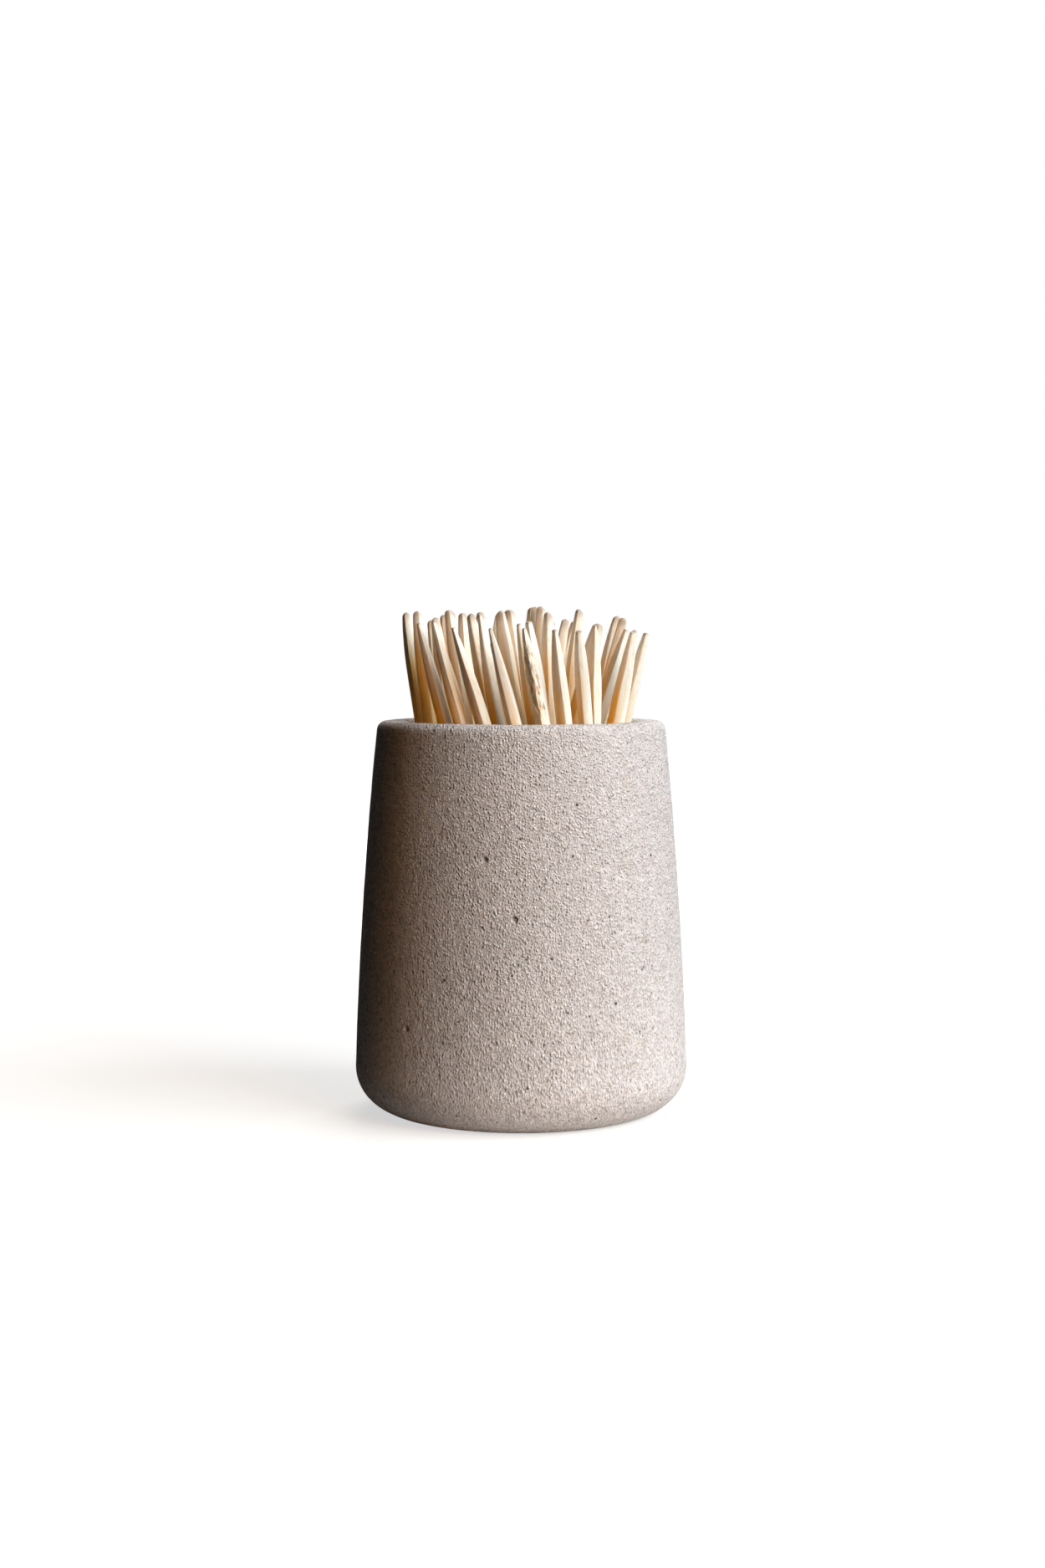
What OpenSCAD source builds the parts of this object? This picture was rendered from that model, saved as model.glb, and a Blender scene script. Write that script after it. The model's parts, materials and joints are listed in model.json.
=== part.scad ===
// Toothpick holder: a small unglazed stoneware cup that tapers upwards, with a
// rounded base corner and a soft lip, full of loose double-pointed toothpicks.
// Origin at the middle of the base, Z up, the photographed front towards -Y.

/* [Cup] */
// Height of the cup, from the table to the top of the lip
cup_h = 54; // [50:0.5:58]
// Outer diameter that the side reaches at the table, before its corner is rounded
base_d = 46.6; // [45:0.2:50]
// Outer diameter that the side reaches at the lip, before its edge is rounded
rim_d = 39.8; // [39.2:0.2:42]
// How far the side bows out from a straight taper
side_bulge = 0.55; // [0.2:0.05:1.2]
// Thickness of the side wall
wall = 4.4; // [3.6:0.1:4.6]
// Thickness of the floor
floor_t = 4.6; // [3:0.1:7]
// Radius of the outer corner round the base
base_round_r = 6; // [2:0.5:8]
// Radius of the inner and the outer edge of the lip
lip_round_r = 1.4; // [0.6:0.1:1.7]
// Radius of the corner between the well's side and its floor
well_round_r = 3; // [2:0.5:4]

/* [Toothpicks] */
// Length of a toothpick
pick_l = 65; // [60:0.5:70]
// Diameter of a toothpick along its middle
pick_d = 2; // [1.8:0.05:2.1]
// Length of the taper at each end
taper_l = 14; // [8:0.5:20]
// Diameter of each blunt end
tip_d = 0.4; // [0.3:0.05:0.6]

/* [Seating] */
// Gap between the mouth of the well and a toothpick that leans on it
lip_gap = 0.1; // [0.1:0.05:0.3]
// Height of the middle of a toothpick's lower end above the floor of the well
seat_gap = 0.25; // [0.2:0.05:0.5]

/* [Hidden] */
// Where each toothpick stands: how far right and how far away its axis lies at
// the lip, as shares of lip_reach, and then at its foot, as shares of foot_reach
place_shares = [
  // Front row, from the left to the right, feet turned anticlockwise
  [-0.71, -0.70, 0.18, -0.26],
  [-0.56, -0.83, 0.32, -0.41],
  [-0.35, -0.94, 0.64, -0.48],
  [-0.06, -1.00, 0.74, -0.23],
  [0.20, -0.98, 0.83, -0.07],
  [0.40, -0.92, 0.75, 0.17],
  [0.60, -0.80, 0.85, 0.34],
  [0.68, -0.60, 0.63, 0.44],
  [0.88, -0.42, 0.21, 0.57],
  [0.92, -0.21, 0.28, 0.73],
  [1.00, 0.01, 0.19, 0.88],
  // Second row, behind the front one
  [0.74, -0.07, -0.26, 0.41],
  [-0.21, -0.77, 0.37, -0.28],
  [0.13, -0.79, 0.65, 0.06],
  [0.20, -0.62, 0.62, 0.21],
  [-0.28, -0.45, 0.33, -0.17],
  [-0.53, -0.39, -0.02, -0.21],
  // Steeper ones round the middle
  [0.28, -0.39, 0.36, 0.22],
  [-0.03, -0.57, 0.50, -0.38],
  [0.03, -0.39, 0.45, -0.08],
  [0.19, 0.43, 0.15, 0.39],
  [0.11, 0.58, 0.01, 0.50],
  [0.07, 0.74, -0.05, 0.65],
  [0.46, 0.51, 0.10, 0.62],
  // Left side, fanned outwards
  [-0.97, 0.23, -0.41, 0],
  [-0.88, -0.11, -0.43, -0.43],
  [-0.85, 0.52, -0.26, 0.13],
  [-0.75, 0.27, -0.27, -0.42],
  [-0.69, 0, -0.19, -0.58],
  [-0.64, 0.46, -0.21, -0.05],
  [-0.49, 0.25, -0.17, -0.25],
  // Back, from the left to the right
  [-0.65, 0.74, -0.45, 0.23],
  [-0.50, 0.87, -0.77, 0.47],
  [-0.20, 0.68, -0.41, 0.36],
  [0.09, 0.99, -0.65, 0.63],
  [0.30, 0.94, -0.54, 0.78],
  [0.50, 0.86, -0.41, 0.90],
  [0.75, 0.65, 0.08, 0.80],
  // Fillers among the rest, from the left to the right
  [-0.32, 0.92, -0.59, 0.39],
  [0.25, 0.16, -0.37, 0.67],
  [0.51, 0.06, -0.36, 0.47],
  [0.78, 0.30, -0.01, 0.21],
];
pick_count = len(place_shares);

function pick_name(i) = str("toothpick_", i < 10 ? "0" : "", i);

// Straight pieces that each rounded stretch of an outline is made of
side_steps = 16;
corner_steps = 8;
taper_steps = 7;

// The outer side is one shallow arc from the base to the lip
side_chord = norm([cup_h, (base_d - rim_d) / 2]);
side_r = (pow(side_chord, 2) / 4 + pow(side_bulge, 2)) / (2 * side_bulge);
side_lean = atan2((base_d - rim_d) / 2, cup_h);
side_x = (base_d + rim_d) / 4 - (side_r - side_bulge) * cos(side_lean);
side_z = cup_h / 2 - (side_r - side_bulge) * sin(side_lean);

// Distance from the cup's axis to the side at height z, measured depth inside it
function side_at(depth, z) = side_x + sqrt(pow(side_r - depth, 2) - pow(z - side_z, 2));

// Middle of a rounding that touches the side, at height z and depth inside it
function rounding(depth, z) = [side_at(depth, z), z];

// Direction of such a middle, seen from the middle of the side's arc
function slope_at(p) = atan2(p[1] - side_z, p[0] - side_x);

// Points along an arc of radius r about p, from angle a to angle b
function arc(p, r, a, b, steps) =
  [for (k = [0:steps]) let (t = a + (b - a) * k / steps) [p[0] + r * cos(t), p[1] + r * sin(t)]];

base_round = rounding(base_round_r, base_round_r);
outer_lip = rounding(lip_round_r, cup_h - lip_round_r);
inner_lip = rounding(wall - lip_round_r, cup_h - lip_round_r);
well_round = rounding(wall + well_round_r, floor_t + well_round_r);
side_centre = [side_x, side_z];

// How far from the cup's axis a toothpick's axis may lie, at the lip and at its foot
lip_reach = side_at(wall, cup_h) - pick_d / 2 - lip_gap;
foot_reach = well_round[0] - tip_d / 2 - lip_gap;

// Half section of the cup, from the axis out along the base, up and back down
cup_outline = concat(
  [[0, 0]],
  arc(base_round, base_round_r, -90, slope_at(base_round), corner_steps),
  arc(side_centre, side_r, slope_at(base_round), slope_at(outer_lip), side_steps),
  arc(outer_lip, lip_round_r, slope_at(outer_lip), 90, corner_steps),
  arc(inner_lip, lip_round_r, 90, 180 + slope_at(inner_lip), corner_steps),
  arc(side_centre, side_r - wall, slope_at(inner_lip), slope_at(well_round), side_steps),
  arc(well_round, well_round_r, slope_at(well_round), -90, corner_steps),
  [[0, floor_t]]
);

// A toothpick's taper is a long shallow arc that leaves the straight middle smoothly
taper_drop = (pick_d - tip_d) / 2;
taper_r = (pow(taper_l, 2) + pow(taper_drop, 2)) / (2 * taper_drop);
taper_centre = [pick_d / 2 - taper_r, taper_l];
taper = arc(taper_centre, taper_r, -asin(taper_l / taper_r), 0, taper_steps);

// Half section of a toothpick, from its lower end to its upper end
pick_outline = concat(
  [[0, 0]],
  taper,
  [for (k = [taper_steps:-1:0]) [taper[k][0], pick_l - taper[k][1]]],
  [[0, pick_l]]
);

// Tones of the birch, from fresh and pale to darker sapwood
pick_tones = ["#F0E6D2", "#E6D3B0", "#EBDDC2", "#DDC49A", "#F3EBDB"];

module cup() {
  color("#A69B8F")
    rotate_extrude($fn = 96)
      polygon(cup_outline);
}

// Toothpick number i, its foot near the floor and its side leaning towards the lip
module toothpick(i) {
  place = place_shares[i - 1];
  foot = [place[2] * foot_reach, place[3] * foot_reach, floor_t + seat_gap];
  lip = [place[0] * lip_reach, place[1] * lip_reach, cup_h];
  run = lip - foot;
  color(pick_tones[i % len(pick_tones)])
    translate(foot)
      rotate([0, acos(run[2] / norm(run)), atan2(run[1], run[0])])
        rotate_extrude($fn = 24)
          polygon(pick_outline);
}

cup();
for (i = [1:pick_count]) toothpick(i);
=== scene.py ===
"""A small turned stoneware cup full of loose double-pointed birch toothpicks.

The cup and every toothpick are built round the CAD frame, in metres, with +Z up
and the photographed front towards -Y.
"""

import json
import math
import random

import bpy
from bpy.props import FloatProperty, FloatVectorProperty, IntProperty, PointerProperty
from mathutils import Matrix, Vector


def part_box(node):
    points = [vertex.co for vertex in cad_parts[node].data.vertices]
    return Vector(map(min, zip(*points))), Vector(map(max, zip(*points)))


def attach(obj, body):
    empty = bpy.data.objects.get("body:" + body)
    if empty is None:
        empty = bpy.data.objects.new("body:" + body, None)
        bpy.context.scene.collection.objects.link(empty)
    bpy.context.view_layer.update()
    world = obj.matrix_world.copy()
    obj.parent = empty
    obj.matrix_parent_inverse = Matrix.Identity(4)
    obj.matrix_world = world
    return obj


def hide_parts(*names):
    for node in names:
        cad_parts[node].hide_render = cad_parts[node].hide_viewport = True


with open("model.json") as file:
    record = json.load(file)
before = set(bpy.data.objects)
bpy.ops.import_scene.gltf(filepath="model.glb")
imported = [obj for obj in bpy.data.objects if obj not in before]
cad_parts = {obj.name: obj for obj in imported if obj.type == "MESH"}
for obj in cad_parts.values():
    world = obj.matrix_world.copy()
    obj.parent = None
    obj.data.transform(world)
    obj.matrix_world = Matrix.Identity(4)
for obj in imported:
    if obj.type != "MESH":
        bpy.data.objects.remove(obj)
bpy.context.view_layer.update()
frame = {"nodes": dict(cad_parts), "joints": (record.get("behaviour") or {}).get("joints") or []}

bl_info = {
    "name": "Toothpick Holder",
    "version": (1, 0, 0),
    "blender": (4, 5, 0),
    "location": "3D View > Sidebar > Holder",
    "description": "A stoneware cup full of birch toothpicks, on a plain pale floor",
    "category": "Add Mesh",
}

MM = 0.001
CUP_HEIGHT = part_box("cup")[1].z

# Sockets of a Mix node that mixes colours: its share, both colours and the result
MIX_SHARE, MIX_A, MIX_B, MIXED = 0, 6, 7, 2

# Points closer together than this are made one
MERGED_WITHIN = 0.001 * MM

# Widths of the patterns that colour the clay, the distances from its middle between
# which a grain of sand fades, the radii of the specks, and how the patterns are stirred
FINE_GRAIN = 0.22 * MM
COARSE_GRAIN = 1.0 * MM
SAND_GRAIN = 0.36 * MM
SAND_CORE, SAND_EDGE = 0.05 * MM, 0.22 * MM
BLOTCH, BLOTCH_SEED = 3.2 * MM, 3.1
CLOUD = 11 * MM
SPECK_SPACING = 2.5 * MM
SPECK_LEAST, SPECK_MOST = 0.10 * MM, 0.21 * MM
STIRRED_WIDTH, STIRRED_REACH = 0.9 * MM, 0.2 * MM

# How deep the bumps of the clay and of the wood are
CLAY_RELIEF = 0.33 * MM
WOOD_RELIEF = 0.06 * MM

# Patterns in the wood: how wide each is, and what its length is squeezed to before it
# is drawn out along the toothpick
THREAD = (0.16 * MM, 0.035)
BAND = (0.75 * MM, 0.03)
PORE = (0.11 * MM, 0.09)
FRAY = (0.22 * MM, 0.3)

# What the cup's shape is roughened with: how wide each kind is, and how deep it goes
SWELL, SWELL_DEPTH = 9 * MM, 0.05 * MM
LUMP, LUMP_DEPTH = 2.1 * MM, 0.04 * MM
GRIT, GRIT_DEPTH = 0.95 * MM, 0.04 * MM
PIT_SPACING, PIT_RADIUS, PIT_DEPTH = 4.2 * MM, 0.55 * MM, 0.14 * MM
TINIEST_RADIUS = 0.01 * MM
CUP_SEED = 4.0

# Heights between which that roughness sets in, so that the cup stands flat
SMOOTH_BELOW, ROUGH_ABOVE = 0.05 * MM, 0.8 * MM

# Pits that catch the eye on the photographed side: degrees round from the front
# towards the right, height, radius and depth
SEEN_PITS = [
    (-12.6, 36.5 * MM, 0.45 * MM, 0.16 * MM),
    (-2.1, 28.8 * MM, 0.36 * MM, 0.30 * MM),
    (-41.7, 13.8 * MM, 0.42 * MM, 0.20 * MM),
]

# The toothpicks in front, from the left to the right: width of the cut upper end and
# length of its taper, both in mm, how far round from the front one edge lies, in
# degrees, and how much painted warm shade lies on the side turned from the lamps
IN_FRONT = [
    (0.52, 12.0, 4, 0.9),
    (0.52, 12.0, 6, 0.8),
    (0.50, 13.0, 2, 0.8),
    (0.46, 13.0, -26, 0.5),
    (0.50, 9.5, -8, 0.4),
    (0.66, 10.0, 4, 0.8),
    (0.92, 8.0, -14, 0.8),
    (0.50, 10.0, -2, 1.0),
    (0.62, 11.0, -4, 1.0),
    (0.66, 11.0, -16, 0.8),
    (0.78, 10.0, -10, 0.6),
    (0.66, 11.0, -8, 1.0),
    (0.50, 12.0, -2, 1.0),
    (0.60, 12.0, -20, 1.0),
    (0.84, 10.0, 2, 0.6),
]

# Between which values the same four are drawn for each toothpick further back
FURTHER_BACK = ((1.0, 1.25), (7, 10), (-40, 40), (0.8, 1.0))

# What the photo's soft focus changes: ends further back look rounder and more stained.
# The wood further back is browner, which is painted shade from the toothpicks in front
SHARP = {"Rounding": 0.35, "Stain": 0.4 * MM}
BLURRED = {"Rounding": 0.85, "Stain": 2.0 * MM}
FRONT_TONES = (0.1, 0.4)
REAR_TONES_AND_SHADE = (0.4, 1.1)

# Toothpicks whose upper end lies further left than this get painted shade: browner all over
SHADED_LEFT_OF = -13 * MM

# What differs a little from toothpick to toothpick. The side that takes the painted
# warm shade, turned from the lamps, is in degrees round from the right.
CHANCE_SEED = 11
FACET_COUNTS = (4, 5, 5)
VARIED = {"Flatness": (0.8, 1.0), "Unevenness": (0.3, 0.7), "Slant": (0, 0.3)}
PAINTED_SHADE_SIDES = (-160, -140)

# The one that came rough from the mill, with torn fibres down its left and front, and
# what it has that the smooth ones haven't. The torn band begins, is full, fades and
# ends at these shares of the length. Splinters are counted per square metre, and each
# is a sliver times a size between the least and the most.
TORN = "toothpick_05"
TORN_SIDE = math.radians(246)
TORN_BAND = (0.79, 0.83, 0.95, 0.985)
SMOOTH = {"Faces": 8, "Rings": 110, "Tear": 0.0, "Splinters": 0.0}
ROUGH = {"Faces": 14, "Rings": 300, "Tear": 0.24 * MM, "Splinters": 3e6}
SLIVER = {
    "Vertices": 5, "Radius Top": 0.012 * MM, "Radius Bottom": 0.055 * MM, "Depth": 0.9 * MM}
SLIVER_LEAST, SLIVER_MOST, SLIVER_SEED = 0.5, 1.4, 3
SLIVER_LEAN = 0.16

# How wide the unevenness of a toothpick is where its edges wander, its tapers are
# pinched, its fibres stand out and its torn place is ragged, and how far in radians
# its edges lie off their regular places
WANDER_WIDTH = 11 * MM
PINCH_WIDTH = 2.8 * MM
FIBRE_WIDTH, FIBRE_DEPTH = 0.42 * MM, 0.02 * MM
RAGGED_WIDTH = 0.55 * MM
EDGE_UNEVENNESS = 0.22

# How far the upper end lies off the middle, and how far down its slant reaches
ASTRAY = 0.09 * MM
SLANT_REACH = 1.5 * MM

# What a toothpick's seed is multiplied by, so that its edges, the depths of its cuts
# and the low side of its slanting end fall differently on each, and what a facet's
# number is multiplied by, so that its facets are cut to different depths
EDGE_STRIDE = 2.4
CUT_STRIDE = 1.7
LOW_SIDE_STRIDE = 2.1
FACET_STRIDE = 2.3

# The lamps: degrees round from the front towards the right, elevation, distance from
# the middle of the cup, width and height, and colour
LAMPS = {
    "window": (74, 42, 0.48, (0.21, 0.24), (0.88, 0.97, 1.05)),
    "room": (46, 26, 0.48, (0.18, 0.18), (0.82, 0.94, 0.985)),
    "warm": (28, 24, 0.48, (0.21, 0.18), (1.0, 0.53, 0.22)),
    "back": (176, 26, 0.45, (0.26, 0.30), (1.0, 0.98, 0.95)),
}
FILL_COLOUR = (1.0, 0.86, 0.74)
WHITE = (1, 1, 1)

# The floor: half its width, the distances between which its own light rises to full
# white, where its lit patch lies and fades out, and its colours, as the camera sees it
# and as it lights the cup
FLOOR_HALF = 2.0
GLOW_NEAR, GLOW_FAR = 50 * MM, 350 * MM
PATCH, PATCH_INNER, PATCH_OUTER = (22 * MM, -10 * MM, 0), 28 * MM, 56 * MM
FLOOR_SEEN = (0.50, 0.48, 0.46)
PATCH_BOUNCE = (0.76, 0.73, 0.70)
FAR_BOUNCE = (0.02, 0.016, 0.012)

FRAME_WIDTH_MM = 36.0
NEAREST_SEEN = 10 * MM


def measure(name, description, millimetres):
    """A length, whose default is given in mm."""
    return FloatProperty(
        name=name, description=description, default=millimetres * MM, unit="LENGTH")


def tint(name, description, colour):
    """A colour."""
    return FloatVectorProperty(
        name=name, description=description, subtype="COLOR", default=colour)


def power(name, description, watts):
    """A lamp's power."""
    return FloatProperty(name=name, description=description, default=watts, unit="POWER")


class CupSizes(bpy.types.PropertyGroup):
    """Sizes and colours of the stoneware cup."""

    base_width: measure("Base width", "Diameter that the side reaches at the table", 46.6)
    rim_width: measure("Rim width", "Diameter that the side reaches at the lip", 39.8)
    bulge: measure("Bulge", "How far the side bows out from a straight taper", 0.55)
    wall: measure("Wall", "Thickness of the side", 4.4)
    floor: measure("Floor", "Thickness of the floor", 4.6)
    base_round: measure("Base corner", "Radius of the outer corner at the table", 6.0)
    lip_round: measure("Lip corner", "Radius of both edges of the lip", 1.4)
    well_round: measure("Well corner", "Radius between the well's side and floor", 3.0)
    facets: IntProperty(
        name="Facets", description="Faces round the cup", default=400, min=48)
    clay: tint("Clay", "Colour of the fired clay", (0.755, 0.708, 0.702))
    dark_grain: tint("Dark grain", "Colour between the grains", (0.51, 0.468, 0.445))
    pale_grain: tint("Pale grain", "Colour of the palest sand grains", (0.88, 0.86, 0.845))
    # Also laid faintly in the pits as painted shade
    iron_and_pit_shade: tint("Iron specks", "Colour of the dark specks", (0.054, 0.046, 0.043))
    rust: tint("Rust", "Colour of the rusty sand and the faint warm blotches",
               (0.50, 0.40, 0.31))


class ToothpickSizes(bpy.types.PropertyGroup):
    """Sizes and colours of the toothpicks."""

    length: measure("Length", "From end to end", 65.0)
    width: measure("Width", "Diameter along the middle", 2.0)
    taper: measure("Taper", "Length of the taper at the lower end", 14.0)
    tip: measure("Tip", "Diameter of the blunt lower end", 0.4)
    birch: tint("Birch", "Colour of the fresh wood", (0.865, 0.86, 0.80))
    grain: tint("Grain", "Colour of the darker grain", (0.84, 0.60, 0.27))
    # Colour of the painted warm shade on the side of each toothpick turned from the lamps
    heart: tint("Heartwood", "Colour of the side nearest the heart", (0.86, 0.395, 0.05))
    cut_end: tint("Cut end", "Colour that the cut ends are stained", (0.34, 0.24, 0.175))
    torn: tint("Torn wood", "Colour of the torn and bruised fibres", (0.62, 0.37, 0.16))


class StageSizes(bpy.types.PropertyGroup):
    """Camera, lamps and floor."""

    camera_back: measure("Camera distance", "From the cup's axis to the camera", 301.9)
    camera_up: measure("Camera height", "Above the table", 63.46)
    camera_right: measure(
        "Camera shift", "How far right of the axis the camera stands", 0.2)
    camera_tilt: FloatProperty(
        name="Camera tilt", description="How far the camera looks down",
        default=math.radians(3.48), subtype="ANGLE")
    lens: FloatProperty(
        name="Lens", description="Focal length on a 36 mm frame", default=50.0, unit="CAMERA")
    window_power: power("Window light", "Power of the light on the right", 1.70)
    room_power: power("Room light", "Power of the cool light, nearer the front", 1.57)
    warm_power: power(
        "Warm light", "Power of the warm light next to it, at the front", 0.80)
    back_power: power("Back light", "Power of the light behind", 1.6)
    fill: FloatProperty(
        name="Fill", description="Strength of the light from all round", default=0.006)
    floor_white: FloatProperty(
        name="Floor white", description="Light that the floor shows by itself next to the cup",
        default=0.62)


def opaque(colour):
    """A colour with full alpha. A socket stays as it is."""
    return colour if isinstance(colour, bpy.types.NodeSocket) else (*colour, 1.0)


class Nodes:
    """Adds nodes to one tree, each with its values or with the sockets that feed it."""

    def __init__(self, tree):
        self.tree = tree

    def feed(self, socket, value):
        """Gives an input its number, or links the socket that feeds it."""
        if isinstance(value, bpy.types.NodeSocket):
            self.tree.links.new(value, socket)
        else:
            socket.default_value = value

    def add(self, kind, values=(), **settings):
        """One node of this kind. Its values go by position, or by key if they are a dict."""
        made = self.tree.nodes.new(kind)
        for name, setting in settings.items():
            setattr(made, name, setting)
        pairs = values.items() if isinstance(values, dict) else enumerate(values)
        for key, value in pairs:
            self.feed(made.inputs[key], value)
        return made

    def math(self, operation, *values, clamp=False):
        return self.add("ShaderNodeMath", values, operation=operation, use_clamp=clamp).outputs[0]

    def vector(self, operation, *values):
        return self.add("ShaderNodeVectorMath", values, operation=operation).outputs[0]

    def distance(self, a, b):
        return self.add("ShaderNodeVectorMath", (a, b), operation="DISTANCE").outputs["Value"]

    def join(self, x, y, z):
        return self.add("ShaderNodeCombineXYZ", (x, y, z)).outputs[0]

    def split(self, vector):
        return self.add("ShaderNodeSeparateXYZ", (vector,)).outputs

    def scaled(self, vector, factors):
        return self.vector("MULTIPLY", vector, factors)

    def greatest(self, first, *others):
        """The greatest of these values at each place."""
        for other in others:
            first = self.math("MAXIMUM", first, other)
        return first

    def ramp(self, value, low, high, start=0.0, end=1.0, smooth=True):
        """start below low and end above high, with a soft or a straight change between."""
        kind = "SMOOTHSTEP" if smooth else "LINEAR"
        made = self.add("ShaderNodeMapRange", (value, low, high, start, end),
                        interpolation_type=kind)
        return made.outputs[0]

    def texture(self, kind, values, size, seed, dimensions):
        """A texture with features about size metres wide, and its own for each seed."""
        values["Scale"] = 1 / size
        if seed is None:
            return self.add(kind, values, **{dimensions: "3D"})
        values["W"] = seed
        return self.add(kind, values, **{dimensions: "4D"})

    def noise(self, vector, size, detail=1.0, roughness=0.5, seed=None):
        """Noise from 0 to 1 whose features are about size metres wide."""
        values = {"Vector": vector, "Detail": detail, "Roughness": roughness}
        return self.texture(
            "ShaderNodeTexNoise", values, size, seed, "noise_dimensions").outputs[0]

    def cells(self, vector, size, seed=None):
        """Distance to the middle of the nearest of cells size wide, and its colour's parts."""
        made = self.texture(
            "ShaderNodeTexVoronoi", {"Vector": vector}, size, seed, "voronoi_dimensions")
        away = self.math("MULTIPLY", made.outputs["Distance"], size)
        return away, self.split(made.outputs["Color"])

    def stirred(self, place, size, reach):
        """A place pushed about by up to half reach, so that a pattern there runs unevenly."""
        made = self.texture("ShaderNodeTexNoise", {"Vector": place, "Detail": 1.0}, size,
                            None, "noise_dimensions")
        push = self.vector("SUBTRACT", made.outputs["Color"], (0.5, 0.5, 0.5))
        return self.vector("ADD", place, self.scaled(push, (reach, reach, reach)))

    def mix(self, share, a, b):
        """Colour a turning into colour b as share goes from 0 to 1."""
        values = {MIX_SHARE: share, MIX_A: opaque(a), MIX_B: opaque(b)}
        return self.add("ShaderNodeMix", values, data_type="RGBA").outputs[MIXED]


def nodes_of(holder):
    """A hand for the nodes of a material or a world, which start from none."""
    holder.use_nodes = True
    holder.node_tree.nodes.clear()
    return Nodes(holder.node_tree)


def new_material(name):
    """An empty material with only a Principled shader, and a hand for its nodes."""
    material = bpy.data.materials.new(name)
    nodes = nodes_of(material)
    shader = nodes.add("ShaderNodeBsdfPrincipled")
    nodes.add("ShaderNodeOutputMaterial", {"Surface": shader.outputs[0]})
    return material, nodes, shader


def cover(nodes, shader, values, relief, depth, strength):
    """Gives a shader its values, and bumps this deep where the relief is high."""
    bump = nodes.add(
        "ShaderNodeBump", {"Height": relief, "Distance": depth, "Strength": strength})
    values["Normal"] = bump.outputs[0]
    for name, value in values.items():
        nodes.feed(shader.inputs[name], value)


def drawn_out(nodes, place):
    """A place whose height is squeezed near the table, so that a pattern there is drawn out."""
    at_table = 0.55
    slope = (1 - at_table) / (2 * CUP_HEIGHT)
    x, y, z = nodes.split(place)
    squeezed = nodes.math("MULTIPLY", z, nodes.math("MULTIPLY_ADD", z, slope, at_table))
    return nodes.join(x, y, squeezed)


def seen_pits(nodes, place, sizes):
    """For each pit of the photo: how far off its middle is, and its radius and depth."""
    for degrees, height, radius, depth in SEEN_PITS:
        reach = side_at(sizes, 0, height)
        turn = math.radians(degrees)
        middle = (reach * math.sin(turn), -reach * math.cos(turn), height)
        yield nodes.distance(place, middle), radius, depth


def stoneware(sizes):
    """Unglazed sandy clay: dense fine grain, pale and rusty sand, dark specks, and pits darkened
    with painted shade.
    """
    material, nodes, shader = new_material("stoneware")
    place = nodes.add("ShaderNodeTexCoord").outputs["Object"]
    drawn = nodes.stirred(drawn_out(nodes, place), STIRRED_WIDTH, STIRRED_REACH)
    fine = nodes.noise(drawn, FINE_GRAIN, detail=2.0, roughness=0.6)
    coarse = nodes.noise(drawn, COARSE_GRAIN, detail=2.0, roughness=0.6)
    grain = nodes.math("MULTIPLY_ADD", fine, 0.8, nodes.math("MULTIPLY", coarse, 0.2))

    off_middle, sand = nodes.cells(drawn, SAND_GRAIN)
    bead = nodes.ramp(off_middle, SAND_CORE, SAND_EDGE, 1, 0)

    def some_beads(which, low, high, start=0.0, end=1.0):
        """Part of the sand grains, by one of the three random numbers that each has."""
        return nodes.math("MULTIPLY", bead, nodes.ramp(sand[which], low, high, start, end))

    raised = some_beads(0, 0.2, 0.9)
    pore = some_beads(1, 0.03, 0.10, 0.5, 0)
    patches = nodes.noise(place, BLOTCH, detail=3.0, roughness=0.6, seed=BLOTCH_SEED)
    colour = nodes.mix(nodes.ramp(grain, 0.37, 0.57), sizes.dark_grain, sizes.clay)
    for share, stain in (
            (some_beads(1, 0.55, 0.9, end=0.75), sizes.pale_grain),
            (some_beads(2, 0.66, 0.95, end=0.65), sizes.rust),
            (pore, sizes.iron_and_pit_shade),
            (nodes.ramp(patches, 0.56, 0.72, end=0.14), sizes.rust)):
        colour = nodes.mix(share, colour, stain)

    cloud = nodes.noise(place, CLOUD, detail=3.0)
    light = nodes.ramp(cloud, 0.3, 0.7, 0.97, 1.03, smooth=False)
    light = nodes.math("MULTIPLY", light, nodes.ramp(sand[0], 0, 1, 0.88, 1.09, smooth=False))
    colour = nodes.scaled(colour, nodes.join(light, light, light))

    away, random_part = nodes.cells(place, SPECK_SPACING)
    radius = nodes.ramp(random_part[0], 0, 1, SPECK_LEAST, SPECK_MOST, smooth=False)
    speck = nodes.ramp(nodes.math("DIVIDE", away, radius), 0.75, 1.1, 1.0, 0.0)
    hollow = nodes.greatest(*(
        nodes.ramp(gap, 0.4 * depth, pit_radius + 0.6 * depth, 1.0, 0.0)
        for gap, pit_radius, depth in seen_pits(nodes, place, sizes)))
    # Dark specks, and painted shade that darkens the pits
    for dark, share in ((speck, 0.9), (hollow, 0.22)):
        colour = nodes.mix(nodes.math("MULTIPLY", dark, share), colour, sizes.iron_and_pit_shade)

    relief = nodes.math("MULTIPLY_ADD", coarse, 0.7, fine)
    for part, rise in ((raised, 0.6), (speck, -0.7), (pore, -0.8), (hollow, -1.9)):
        relief = nodes.math("MULTIPLY_ADD", part, rise, relief)
    cover(nodes, shader, {
        "Base Color": colour,
        "Roughness": nodes.ramp(fine, 0.3, 0.7, 0.98, 0.88, smooth=False),
        "Specular IOR Level": 0.03}, relief, CLAY_RELIEF, strength=1.0)
    return material


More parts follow.
